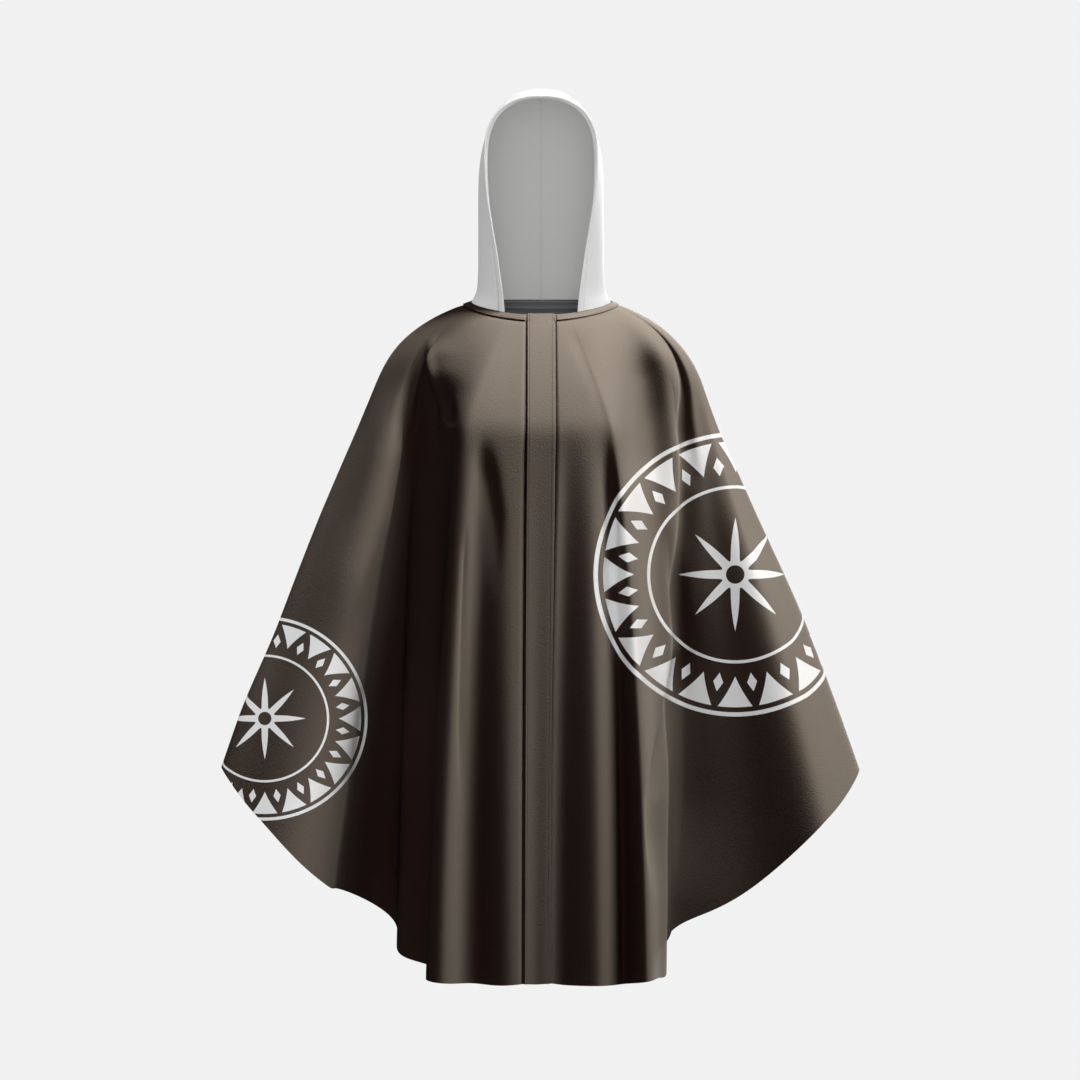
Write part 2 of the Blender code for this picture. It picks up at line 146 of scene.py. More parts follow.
LEFT_BACK = (
    Fold("middle trough", 0.000, 0.000, 0.010, 0.160, 0.985, 0.8),
    Fold("first crest", 0.036, 0.000, 0.046, 0.208, 0.988, 0.8),
    Fold("first trough", 0.068, 0.000, 0.086, 0.158, 0.985, 0.9),
    Fold("main crest", 0.104, 0.000, 0.126, 0.206, 0.980, 0.8),
    Fold("main trough", 0.134, 0.006, 0.150, 0.132, 0.962, 0.7),
    Fold("side crest", 0.158, 0.002, 0.180, 0.140, 0.935, 0.5),
    Fold("side trough", 0.182, 0.008, 0.200, 0.062, 0.880, 0.3),
    Fold("wing upper", 0.212, 0.000, 0.276, 0.056, 0.822, 0.0),
    Fold("wing middle", 0.226, 0.000, 0.350, 0.040, 0.764, 0.1),
    Fold("wing lower", 0.234, 0.000, 0.412, 0.024, 0.706, 0.15),
    Fold("wing edge", 0.2385, 0.000, 0.444, -0.003, 0.674, 0.15),
)
RIGHT_FRONT = (
    Fold("placket side", 0.022, 0.000, 0.025, -0.188, 0.955, 0.5),
    Fold("first crest", 0.040, 0.000, 0.042, -0.194, 0.956, 0.7),
    Fold("first trough", 0.080, 0.000, 0.094, -0.148, 0.958, 1.0),
    Fold("main crest", 0.098, 0.000, 0.138, -0.207, 0.952, 0.7),
    Fold("main turn", 0.113, 0.006, 0.162, -0.172, 0.950, 0.6),
    Fold("side trough", 0.137, 0.039, 0.156, -0.104, 0.938, 0.6),
    Fold("side crest", 0.167, 0.026, 0.199, -0.088, 0.925, 0.5),
    Fold("arm trough", 0.184, 0.010, 0.208, -0.030, 0.886, 0.3),
    Fold("wing upper", 0.196, 0.006, 0.284, -0.036, 0.836, 0.1),
    Fold("wing turn", 0.205, -0.008, 0.302, -0.130, 0.822, 0.0),
    Fold("wing middle", 0.218, -0.006, 0.340, -0.168, 0.786, 0.0),
    Fold("wing lower", 0.236, 0.000, 0.392, -0.136, 0.734, 0.1),
    Fold("wing edge", 0.245, 0.000, 0.436, -0.078, 0.690, 0.15),
)
RIGHT_TIP = Fold("overarm", 0.247, 0.000, 0.460, -0.036, 0.658, 0.15)
RIGHT_BACK = (
    Fold("first crest", 0.030, 0.000, 0.030, 0.204, 0.988, 0.8),
    Fold("first trough", 0.060, 0.000, 0.068, 0.160, 0.985, 0.9),
    Fold("main crest", 0.096, 0.000, 0.112, 0.210, 0.980, 0.8),
    Fold("main trough", 0.128, 0.006, 0.140, 0.134, 0.962, 0.7),
    Fold("side crest", 0.154, 0.002, 0.176, 0.146, 0.935, 0.5),
    Fold("side trough", 0.180, 0.008, 0.194, 0.064, 0.880, 0.3),
    Fold("wing upper", 0.210, 0.000, 0.262, 0.058, 0.828, 0.0),
    Fold("wing middle", 0.226, 0.000, 0.336, 0.042, 0.774, 0.1),
    Fold("wing lower", 0.238, 0.000, 0.402, 0.024, 0.712, 0.15),
    Fold("wing edge", 0.245, 0.000, 0.440, -0.004, 0.680, 0.15),
)

# Each row is a section of half the hood, from just above the neck to the one before the crown
# seam: its place on the face edge, how wide it is and where, how far it arches, and its place
# on the back seam.
HoodRow = namedtuple("HoodRow", "edge_out edge_depth edge_level width wide_at arch seam_depth seam_level")
HOOD = (
    HoodRow(0.0535, -0.0700, 0.020, 0.0925, 0.002, 0.000, 0.090, 0.045),
    HoodRow(0.0575, -0.0730, 0.050, 0.0905, 0.008, 0.000, 0.110, 0.075),
    HoodRow(0.0625, -0.0760, 0.085, 0.0905, 0.014, 0.000, 0.124, 0.108),
    HoodRow(0.0685, -0.0795, 0.120, 0.0905, 0.018, 0.001, 0.132, 0.142),
    HoodRow(0.0745, -0.0830, 0.155, 0.0905, 0.020, 0.002, 0.1345, 0.176),
    HoodRow(0.0775, -0.0865, 0.190, 0.0895, 0.020, 0.003, 0.132, 0.208),
    HoodRow(0.0785, -0.0890, 0.222, 0.0855, 0.018, 0.004, 0.125, 0.236),
    HoodRow(0.0765, -0.0905, 0.246, 0.0785, 0.014, 0.006, 0.114, 0.260),
    HoodRow(0.0690, -0.0915, 0.267, 0.0690, 0.008, 0.009, 0.100, 0.279),
    HoodRow(0.0565, -0.0915, 0.283, 0.0545, 0.002, 0.013, 0.086, 0.292),
    HoodRow(0.0370, -0.0910, 0.295, 0.0340, -0.003, 0.016, 0.072, 0.302),
    HoodRow(0.0190, -0.0905, 0.300, 0.0170, -0.006, 0.016, 0.064, 0.307),
)
CROWN = HoodRow(0.000, -0.0900, 0.3015, 0.000, -0.008, 0.0155, 0.058, 0.3095)

# Where on the neck ring the face edge stands, and how far above the ring the hood starts
FACE_TURN = math.radians(31)
HOOD_SLACK = 0.0001
HOOD_LIFT = ON_TOP + HOOD_SLACK

# The hood's columns of points. The first lie between the face edge and the widest place, at
# shares of that way, and are closest at the line of the turned-in hem. The others lie at turns
# from there to the middle seam, and are closest beside it.
HEM_SHARE = 0.112
HEM_COLUMNS = 6
HEM_LINE_COLUMN = HEM_COLUMNS + 1
HEM_LINE_STEP = 0.007
HOOD_SIDE_START = HEM_SHARE + 0.040
HOOD_SIDE_COLUMNS = 20
HOOD_SHARES = (
    *np.linspace(0.0, HEM_SHARE - 2 * HEM_LINE_STEP, HEM_COLUMNS),
    *(HEM_SHARE + HEM_LINE_STEP * step for step in (-1, 0, 1, 2)),
    *np.linspace(HOOD_SIDE_START, 1.0, HOOD_SIDE_COLUMNS, endpoint=False),
)
HOOD_BACK_COLUMNS = 27
NEAR_SEAM = 0.034
BESIDE_SEAM = 0.014
HOOD_TURNS = (
    *np.linspace(0.0, QUARTER_TURN - NEAR_SEAM, HOOD_BACK_COLUMNS),
    QUARTER_TURN - BESIDE_SEAM, QUARTER_TURN,
)

# How far the hem rolls out and how deep its line and the middle seam are. The roll is part of a
# half wave, from the share given.
HEM_ROLL = 0.0022
HEM_ROLL_START = 0.25
HEM_LINE_DEPTH = 0.0030
HEM_LINE_SHAPE = (0.5, 1.0, 0.5)
HOOD_SEAM_DEPTH = 0.0012

# Where the viewer stands
VIEWER_DISTANCE = 6.0
VIEWER_OUT = -0.0015
VIEWER_LEVEL = -0.331
VIEW_WIDTH = 1.566
SENSOR_WIDTH = 36.0

# A crease is a soft ridge, or a trough where its height is below 0, named by the wearer's sides.
# Its path is in millimetres, out to the wearer's left and up, as the viewer in front, or the one
# behind, sees it. low and high are how wide it is to that viewer's left and right of the path,
# and top and foot are the shares of the path over which it dies away at its two ends. The
# wings' edges fall away both in front and behind.
Crease = namedtuple("Crease", "name path low high height top foot")
WING_EDGES = (
    Crease(
        "right wing edge", ((-197, -41), (-212, -77), (-306, -302), (-378, -447), (-436, -592)),
        30, 30, -7, 0.25, 0.25,
    ),
    Crease("left wing edge", ((216, -77), (289, -258), (376, -476)), 24, 24, -9, 0.3, 0.5),
)
FRONT_CREASES = (
    *WING_EDGES,
    Crease(
        "right wing crest", ((-211, -85), (-219, -200), (-240, -302), (-276, -418), (-312, -520)),
        34, 16, 12, 0.3, 0.35,
    ),
    Crease(
        "left wing hollow", ((208, -400), (205, -560), (202, -708), (198, -860)),
        10, 70, -12, 0.35, 0.35,
    ),
    Crease("left chest", ((40, -20), (61, -55), (84, -106), (101, -157), (105, -196)), 13, 13, -3, 0.2, 0.3),
    Crease("right dart slope", ((-158, -30), (-155, -80), (-150, -125)), 8, 32, 9, 0.4, 0.4),
    Crease("right dart ridge", ((-158, -50), (-152, -95), (-147, -150)), 5, 6, 6, 0.3, 0.5),
    Crease("right dart foot", ((-160, -66), (-156, -130), (-150, -200)), 6, 6, -8, 0.5, 0.5),
    Crease("right dart inside", ((-140, -110), (-130, -170)), 6, 8, -6, 0.4, 0.4),
    Crease("right bust", ((-84, -186), (-75, -240), (-66, -302), (-68, -420)), 14, 10, -9, 0.25, 0.6),
    Crease(
        "left bust", ((93, -186), (100, -240), (103, -302), (102, -420), (108, -560)),
        10, 8, -9, 0.22, 0.6,
    ),
    Crease("right fold", ((-108, -300), (-112, -418), (-115, -560), (-117, -720)), 5, 4, -5, 0.2, 0.3),
    Crease("left arm crest", ((184, -55), (202, -157), (228, -272)), 11, 11, -7, 0.3, 0.4),
    Crease(
        "left side", ((184, -302), (204, -490), (170, -650), (161, -708), (165, -860)),
        8, 14, -10, 0.2, 0.2,
    ),
    Crease("left front shoulder", ((150, -44), (150, -110), (146, -190), (140, -300)), 20, 20, -8, 0.2, 0.4),
)
BACK_CREASES = (
    *WING_EDGES,
    Crease("left blade", ((76, -150), (84, -240), (88, -400)), 12, 13, -8, 0.3, 0.6),
    Crease("right blade", ((-70, -146), (-75, -260), (-82, -450)), 12, 11, -9, 0.25, 0.6),
    Crease("left back shoulder", ((142, -60), (148, -150), (150, -270)), 18, 20, -7, 0.3, 0.5),
    Crease("right back shoulder", ((-148, -56), (-152, -140), (-146, -240)), 20, 17, -6, 0.3, 0.5),
    Crease("left back fold", ((112, -430), (118, -600), (121, -790)), 5, 5, -4, 0.3, 0.4),
    Crease("right back fold", ((-104, -380), (-108, -520), (-110, -650)), 4, 5, -4, 0.3, 0.4),
)


def smooth_step(value):
    """0 below 0, 1 above 1, and an even curve between."""
    share = np.clip(value, 0.0, 1.0)
    return share * share * (3.0 - 2.0 * share)


def along(points):
    """Distance walked along a line of points, at each point."""
    return np.concatenate([[0.0], np.cumsum(np.linalg.norm(np.diff(points, axis=0), axis=1))])


def unit(vectors):
    """The same directions at length one."""
    return vectors / np.linalg.norm(vectors, axis=-1, keepdims=True)


def smooth_part(share, start, end, way_out, way_in):
    """The point at a share of the way from start to end, on a curve that leaves and arrives by
    the ways given."""
    return (
        (1 + 2 * share) * (1 - share) ** 2 * start
        + share * (1 - share) ** 2 * way_out
        + share**2 * (3 - 2 * share) * end
        + share**2 * (share - 1) * way_in
    )


def loop_spline(knots, values, places):
    """A smooth closed curve through values at knots, where the last value repeats the first."""
    spans = np.diff(knots)
    before = np.roll(spans, 1)
    slopes = np.diff(values, axis=0) / spans[:, None]
    system = np.diag(2.0 * (before + spans))
    system += np.roll(np.diag(spans), -1, axis=1) + np.roll(np.diag(before), 1, axis=1)
    right = 3.0 * (spans[:, None] * np.roll(slopes, 1, axis=0) + before[:, None] * slopes)
    tangents = np.linalg.solve(system, right)
    tangents = np.vstack([tangents, tangents[:1]])
    part = np.clip(np.searchsorted(knots, places, side="right") - 1, 0, len(spans) - 1)
    span = spans[part][:, None]
    share = (places - knots[part])[:, None] / span
    ways = span * tangents[part], span * tangents[part + 1]
    return smooth_part(share, values[part], values[part + 1], *ways)


def neck_point(turn):
    """The neck ring at an angle about the neck, from the front by the wearer's left."""
    level = NECK_LEVEL - NECK_TILT * np.cos(turn) + NECK_SIDE_RISE * np.sin(turn) ** 2
    return np.column_stack([NECK_HALF_WIDTH * np.sin(turn), -NECK_HALF_DEPTH * np.cos(turn), level])


def slope_mix(turn, front, side, back):
    """A value that is front at the throat, side over the shoulders and back at the nape."""
    ahead = np.cos(turn)
    return side * np.sin(turn) ** 2 + np.where(ahead > 0, front, back) * ahead**2


def leave_neck(turn):
    """The direction in which the cloth leaves the neck ring."""
    level = unit(np.column_stack([np.sin(turn) * NECK_HALF_DEPTH, -np.cos(turn) * NECK_HALF_WIDTH]))
    fall = slope_mix(turn, FRONT_SLOPE.fall, SIDE_SLOPE.fall, BACK_SLOPE.fall)[:, None]
    return np.column_stack([level * np.cos(fall), -np.sin(fall)])


def chest_point(fold, tip, ring, side, facing):
    """Where a fold leaves the shoulders: side is 1 on the wearer's left, facing -1 in front."""
    share = min(fold.chest / tip.chest, 1.0)
    over_arm = ARM_HALF_DEPTH * math.sqrt(1.0 - share**4)
    slope = (fold.chest - ring.flat_to) / (ring.slopes_to - ring.flat_to)
    over_chest = (ring.depth - ARM_HALF_DEPTH) * (1.0 - float(smooth_step(slope)))
    rise = (fold.chest - ring.flat_to) / (tip.chest - ring.flat_to)
    level = ring.level + (ARM_LEVEL - ring.level) * float(smooth_step(rise))
    return (side * fold.chest, facing * (over_arm + over_chest - fold.sink), level)


def fold_loop():
    """Every fold in turn round the hem, as the arguments of chest_point."""
    quarters = (
        ((FRONT_EDGE, *LEFT_FRONT, LEFT_TIP), LEFT_TIP, FRONT_CHEST, 1, -1),
        (reversed(LEFT_BACK), LEFT_TIP, BACK_CHEST, 1, 1),
        (RIGHT_BACK, RIGHT_TIP, BACK_CHEST, -1, 1),
        ((RIGHT_TIP, *reversed(RIGHT_FRONT)), RIGHT_TIP, FRONT_CHEST, -1, -1),
    )
    loop = [(fold, *rest) for folds, *rest in quarters for fold in folds]
    return [*loop, loop[0]]


class Cape:
    """The middle surface of the body cloth. A place is a distance round the hem from the front
    edge, by the wearer's left."""

    def __init__(self):
        """Gather the folds' places on the chest ring and the hem, as values round the loop."""
        loop = fold_loop()
        chest = np.array([chest_point(*entry) for entry in loop])
        hem = np.array([(entry[3] * entry[0].out, entry[0].depth, -entry[0].drop) for entry in loop])
        swell = np.array([entry[0].swell for entry in loop])
        left = len(LEFT_FRONT) + 1
        middle = left + len(LEFT_BACK)
        right = middle + len(RIGHT_BACK) + 1
        quarters = [0, left, middle, right, len(loop) - 1]
        walked = along(chest)
        turn = np.interp(walked, walked[quarters], np.radians([0, 90, 180, 270, 360]))
        self.knots = along(hem)
        self.end = self.knots[-1]
        self.left_tip = self.knots[left]
        self.right_tip = self.knots[right]
        even_turn = self.knots * 2 * math.pi / self.end
        self.values = np.column_stack([chest, hem, swell, turn - even_turn])

    def lines(self, places):
        """The line of the cloth from neck to hem at each place, as LINE_STEPS points down to the
        chest ring and as many below it."""
        places = np.mod(places, self.end)
        values = loop_spline(self.knots, self.values, places)
        chest, hem, swell = values[:, 0:3], values[:, 3:6], values[:, 6:7]
        turn = values[:, 7] + places * 2 * math.pi / self.end
        neck = neck_point(turn)
        gap = np.linalg.norm(chest - neck, axis=1)[:, None]
        reach = slope_mix(turn, FRONT_SLOPE.reach, SIDE_SLOPE.reach, BACK_SLOPE.reach)[:, None]
        near = neck + leave_neck(turn) * gap * reach
        upright = slope_mix(turn, FRONT_HANG, SIDE_HANG, BACK_HANG)[:, None]
        far = chest - unit(hem - chest) * gap * upright
        share = np.linspace(0.0, 1.0, LINE_STEPS)[None, :, None]
        support = (
            (1 - share) ** 3 * neck[:, None]
            + 3 * share * (1 - share) ** 2 * near[:, None]
            + 3 * share**2 * (1 - share) * far[:, None]
            + share**3 * chest[:, None]
        )
        down = np.linspace(0.0, 1.0, LINE_STEPS + 1)[None, 1:, None]
        spread = down * (1.0 + swell[:, None] * (1.0 - down))
        down = np.broadcast_to(down, spread.shape)
        hang = chest[:, None] + (hem - chest)[:, None] * np.concatenate([spread, spread, down], axis=2)
        return np.concatenate([support, hang], axis=1)

    def points(self, places, share, offset):
        """At each place, the point at that share of its line from the neck, and offset beyond."""
        found = []
        for line in self.lines(places):
            walked = along(line)
            wanted = share * walked[-1] + offset
            found.append([np.interp(wanted, walked, line[:, axis]) for axis in range(3)])
        return np.array(found)

    def beside_front(self, reach, share, offset):
        """The places that lie reach to the left and to the right of the front edge."""
        steps = np.linspace(0.0, BESIDE_REACH, BESIDE_STEPS)
        left = along(self.points(steps, share, offset))
        right = along(self.points(-steps, share, offset))
        return np.interp(reach, left, steps), self.end - np.interp(reach, right, steps)

    def rows(self):
        """The share and offset of each row, evenly between the stops, and the row of each stop."""
        rows, stops = [ROW_STOPS[0]], [0]
        for start, end in zip(ROW_STOPS, ROW_STOPS[1:]):
            drop = (end[0] - start[0]) * LINE_LENGTH + end[1] - start[1]
            steps = max(1, round(drop / ROW_STEP))
            for step in range(1, steps + 1):
                rows.append(tuple(a + (b - a) * step / steps for a, b in zip(start, end)))
            stops.append(len(rows) - 1)
        return rows, stops

    def grid(self):
        """Points all round in rows down from the neck, with the row of each stop and the columns
        of the two overarms."""
        side = round(self.left_tip / FRONT_COLUMN_STEP)
        back = round((self.right_tip - self.left_tip) / BACK_COLUMN_STEP)
        half = PLACKET_WIDTH / 2
        reaches = [half * step / PLACKET_COLUMNS for step in range(1, PLACKET_COLUMNS + 1)]
        reaches += [half + GROOVE_STEP * step for step in range(1, GROOVE_STEPS)]
        rows, stops = self.rows()
        points = []
        for share, offset in rows:
            beside = [self.beside_front(reach, share, offset) for reach in reaches]
            places = np.concatenate([
                [0.0],
                [left for left, right in beside[:-1]],
                np.linspace(beside[-1][0], self.left_tip, side, endpoint=False),
                np.linspace(self.left_tip, self.right_tip, back, endpoint=False),
                np.linspace(self.right_tip, beside[-1][1], side),
                [right for left, right in beside[-2::-1]],
            ])
            points.append(self.points(places, share, offset))
        return np.array(points), stops, side + len(reaches), side + len(reaches) + back


def outward(points, closed):
    """The outward direction at each point of rows that run down, and close round or don't."""
    if closed:
        across = np.roll(points, -1, axis=1) - np.roll(points, 1, axis=1)
    else:
        across = np.gradient(points, axis=1)
    return unit(np.cross(np.gradient(points, axis=0), across))


def as_seen(points, facing):
    """Where each point shows to the viewer in front (facing -1) or behind (facing 1), in
    millimetres out and up."""
    nearer = VIEWER_DISTANCE / (VIEWER_DISTANCE - facing * points[..., 1])
    out = (points[..., 0] - VIEWER_OUT) * nearer + VIEWER_OUT
    up = (points[..., 2] - VIEWER_LEVEL) * nearer + VIEWER_LEVEL
    return np.stack([out, up], axis=-1) * MM_IN_M


def crease_lift(crease, seen, facing):
    """How far a crease moves each point out, in metres."""
    path = np.array(crease.path, dtype=float)
    walked = along(path)
    nearest = np.full(seen.shape[:2], np.inf)
    signed = np.zeros(seen.shape[:2])
    place = np.zeros(seen.shape[:2])
    for start, end, length, done in zip(path, path[1:], np.diff(walked), walked):
        way = (end - start) / length
        from_start = seen - start
        ahead = np.clip(from_start @ way, 0.0, length)
        gap = from_start - ahead[..., None] * way
        distance = np.linalg.norm(gap, axis=-1)
        closer = distance < nearest
        nearest = np.where(closer, distance, nearest)
        signed = np.where(closer, gap[..., 0], signed)
        place = np.where(closer, (done + ahead) / walked[-1], place)
    width = np.where(signed * -facing < 0, crease.low, crease.high)
    fade = smooth_step(place / crease.top) * smooth_step((1.0 - place) / crease.foot)
    return crease.height / MM_IN_M * np.exp(-((nearest / width) ** 2)) * fade


def add_creases(points, left_tip, right_tip):
    """Lay the listed creases on the cloth."""
    normals = outward(points, closed=True)
    columns = np.arange(points.shape[1])
    behind = (columns > left_tip) & (columns < right_tip)
    lift = np.zeros(points.shape[:2])
    for creases, facing, chosen in ((FRONT_CREASES, -1, ~behind), (BACK_CREASES, 1, behind)):
        seen = as_seen(points, facing)
        for crease in creases:
            lift += np.where(chosen, crease_lift(crease, seen, facing), 0.0)
    return points + normals * lift[..., None]


def soften(points, first, left_tip, right_tip):
    """Round the cloth's turn over the chest, from the first row given down to the hem, and the
    turns of its folds between each front edge and arm."""
    points = points.copy()
    for _ in range(ROW_SOFTENING):
        part = points[first:]
        points[first + 1:-1] = (part[:-2] + 2.0 * part[1:-1] + part[2:]) / 4.0
    beside = PLACKET_COLUMNS + GROOVE_STEPS
    for start, end in ((beside, left_tip), (right_tip, points.shape[1] - beside)):
        for _ in range(COLUMN_SOFTENING):
            part = points[first:, start:end + 1]
            points[first:, start + 1:end] = (part[:, :-2] + 2.0 * part[:, 1:-1] + part[:, 2:]) / 4.0
    return points


def add_grooves(points, stops):
    """Sink the cloth in a fine groove beside the placket and under the neckband."""
    normals = outward(points, closed=True)
    lift = np.zeros(points.shape[:2])
    sink = -GROOVE_DEPTH * np.sin(np.pi * np.arange(GROOVE_STEPS) / GROOVE_STEPS)
    first = stops[BAND_STOP]
    columns = np.arange(PLACKET_COLUMNS, PLACKET_COLUMNS + GROOVE_STEPS)
    lift[first:, columns] += sink
    lift[first:, -columns] += sink
    band = lift[first:first + GROOVE_STEPS, PLACKET_COLUMNS:points.shape[1] - PLACKET_COLUMNS + 1]
    np.minimum(band, sink[:, None] * BAND_GROOVE_SHARE, out=band)
    return points + normals * lift[..., None]


def pulled_in(points):
    """The same rows with each end drawn in by half a seam's opening."""
    points = points.copy()
    points[:, 0] += unit(points[:, 1] - points[:, 0]) * SEAM_OPENING / 2
    points[:, -1] += unit(points[:, -2] - points[:, -1]) * SEAM_OPENING / 2
    return points


# The medallions: how far out and up their middles are, and their radius. A piece's print map
# holds how far each corner is from the middle over the cloth, in radii. Where the cloth turns
# back under the arm, the print goes on over at least ARM_PRINT_SHARE of its length.
Medallion = namedtuple("Medallion", "out up radius")
LEFT_MEDALLION = Medallion(out=0.282, up=-0.381, radius=0.206)
RIGHT_MEDALLION = Medallion(out=-0.400, up=-0.590, radius=0.148)
ARM_PRINT_SHARE = 0.5


def print_map(points, tip, medallion):
    """How far each point is from a medallion's middle, in radii: level with it and up. The print
    lies as the viewer sees it. The map is of use only on the front that the medallion is on,
    which ends in the column of the tip."""
    seen = as_seen(points, -1) / MM_IN_M
    side = 1 if medallion.out > 0 else -1
    step = np.diff(points[..., :2], axis=1, append=points[:, :1, :2])
    ahead = np.diff(seen[..., 0], axis=1, append=seen[:, :1, 0])
    length = np.linalg.norm(step, axis=-1)
    over_arm = np.abs(points[..., 0]) > abs(medallion.out)
    walk = np.where(over_arm, np.maximum(ahead, ARM_PRINT_SHARE * length), ahead)
    walked = np.cumsum(walk, axis=1) - walk
    level = np.empty(points.shape[:2])
    front = np.arange(tip + 1) if side > 0 else np.arange(points.shape[1] - 1, tip - 1, -1)
    for row in range(len(points)):
        reach = np.maximum.accumulate(seen[row, front, 0] * side)
        column = tip
        if reach[-1] > abs(medallion.out):
            column = front[np.searchsorted(reach, abs(medallion.out))]
        level[row] = walked[row] - walked[row, column] + seen[row, column, 0] - medallion.out
    return np.stack([level, seen[..., 1] - medallion.up], axis=-1) / medallion.radius


def sheet_mesh(name, points, print_places=None):
    """An open surface over rows of points, facing out, with an optional print map."""
    rows, columns = points.shape[:2]
    index = np.arange(rows * columns).reshape(rows, columns)
    faces = np.stack([index[:-1, :-1], index[1:, :-1], index[1:, 1:], index[:-1, 1:]], axis=-1)
    faces = faces.reshape(-1, 4)
    mesh = bpy.data.meshes.new(name)
    mesh.from_pydata(points.reshape(-1, 3).tolist(), [], faces.tolist())
    if print_places is not None:
        layer = mesh.uv_layers.new(name="print")
        layer.data.foreach_set("uv", print_places.reshape(-1, 2)[faces.ravel()].ravel())
    return mesh


def add_object(name, data):
    """A new object in the scene."""
    item = bpy.data.objects.new(name, data)
    bpy.context.scene.collection.objects.link(item)
    return item


def finished_mesh(helper):
    """The mesh that a helper's modifiers make of it. The helper is removed."""
    evaluated = helper.evaluated_get(bpy.context.evaluated_depsgraph_get())
    mesh = bpy.data.meshes.new_from_object(evaluated)
    bpy.data.objects.remove(helper, do_unlink=True)
    return mesh


def add_cloth(node, points, materials, thickness, print_places=None, rim_inside=False):
    """The cloth of a node: its surface given its thickness, half to each side, outer finish
    first and inner finish last."""
    mesh = sheet_mesh(node, points, print_places)
    for material in materials:
        mesh.materials.append(material)
    flat = add_object(node + "_surface", mesh)
    wall = flat.modifiers.new("Cloth thickness", "SOLIDIFY")
    wall.thickness = thickness
    wall.offset = 0.0
    wall.use_even_offset = False
    wall.material_offset = len(materials) - 1
    wall.material_offset_rim = len(materials) - 1 if rim_inside else 0
    solid = finished_mesh(flat)
    solid.polygons.foreach_set("use_smooth", [True] * len(solid.polygons))
    solid.set_sharp_from_angle(angle=SHARP_TURN)
    piece = add_object(node + "_cloth", solid)
    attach(piece, "root")
    return piece


def linear(hex_color):
    """The linear colour of an sRGB hex value."""
    channels = [int(hex_color[i:i + 2], 16) / 255.0 for i in (1, 3, 5)]
    return tuple(c / 12.92 if c <= 0.04045 else ((c + 0.055) / 1.055) ** 2.4 for c in channels) + (1.0,)


def set_inputs(tree, node, values):
    """Set or link a node's inputs by name or number. A node given as a value stands for its
    first output."""
    for key, value in values.items():
        if isinstance(value, bpy.types.Node):
            value = value.outputs[0]
        if isinstance(value, bpy.types.NodeSocket):
            tree.links.new(value, node.inputs[key])
        else:
            node.inputs[key].default_value = value


def add_node(tree, kind, inputs=None, **settings):
    """Add a node with its settings and inputs."""
    node = tree.nodes.new(kind)
    for key, value in settings.items():
        setattr(node, key, value)
    set_inputs(tree, node, inputs or {})
    return node


def new_material(name):
    """An empty material, its tree and its shader."""
    material = bpy.data.materials.new(name)
    material.use_nodes = True
    tree = material.node_tree
    return material, tree, tree.nodes["Principled BSDF"]


# The print as sums on its map, in turn: a name for each result, what is done, and with which
# numbers or earlier results. A wave runs evenly from 0 to 1 and back.
TEETH = 20
STAR_POINTS = 8
MEDALLION = (
    ("half turn", "ARCTAN2", "level", "up"),
    ("turn", "MULTIPLY_ADD", "half turn", 0.5 / math.pi, 0.5),
    ("tooth fold", "PINGPONG", "turn", 0.5 / TEETH),
    ("tooth wave", "MULTIPLY", "tooth fold", 2.0 * TEETH),
    ("tooth reach", "MULTIPLY_ADD", "radius", 3.9, -2.80),
    ("teeth and past them", "LESS_THAN", "tooth wave", "tooth reach"),
    ("up to the rim", "LESS_THAN", "radius", 0.935),
    ("teeth", "MULTIPLY", "teeth and past them", "up to the rim"),
    ("gap wave", "SUBTRACT", 1.0, "tooth wave"),
    ("diamond side", "MULTIPLY", "gap wave", 3.4),
    ("past the diamonds", "SUBTRACT", "radius", 0.765),
    ("diamond height", "ABSOLUTE", "past the diamonds"),
    ("diamond edge", "MULTIPLY_ADD", "diamond height", 15.0, "diamond side"),
    ("diamonds", "LESS_THAN", "diamond edge", 1.0),
    ("rim", "COMPARE", "radius", 0.985, 0.015),
    ("inner ring", "COMPARE", "radius", 0.615, 0.011),
    ("star fold", "PINGPONG", "turn", 0.5 / STAR_POINTS),
    ("star side", "MULTIPLY_ADD", "star fold", -2.0 * STAR_POINTS, 1.0),
    ("star point", "POWER", "star side", 2.4),
    ("star edge", "MULTIPLY_ADD", "star point", 0.30, 0.10),
    ("star and eye", "LESS_THAN", "radius", "star edge"),
    ("past the eye", "LESS_THAN", 0.065, "radius"),
    ("star", "MULTIPLY", "star and eye", "past the eye"),
    ("bands", "MAXIMUM", "rim", "inner ring"),
    ("outer part", "MAXIMUM", "teeth", "diamonds"),
    ("ring", "MAXIMUM", "bands", "outer part"),
    ("all", "MAXIMUM", "ring", "star"),
)


def medallion_mask(tree):
    """A plain ring medallion from the print map: a sawtooth ring between two lines, a ring of
    diamonds and an eight-pointed star."""
    place = add_node(tree, "ShaderNodeUVMap", uv_map="print")
    split = add_node(tree, "ShaderNodeSeparateXYZ", {0: place})
    length = add_node(tree, "ShaderNodeVectorMath", {0: place}, operation="LENGTH")
    results = {"level": split.outputs["X"], "up": split.outputs["Y"], "radius": length.outputs["Value"]}
    for name, operation, *terms in MEDALLION:
        given = {number: results.get(term, term) for number, term in enumerate(terms)}
        results[name] = add_node(tree, "ShaderNodeMath", given, operation=operation, label=name)
    return results["all"]


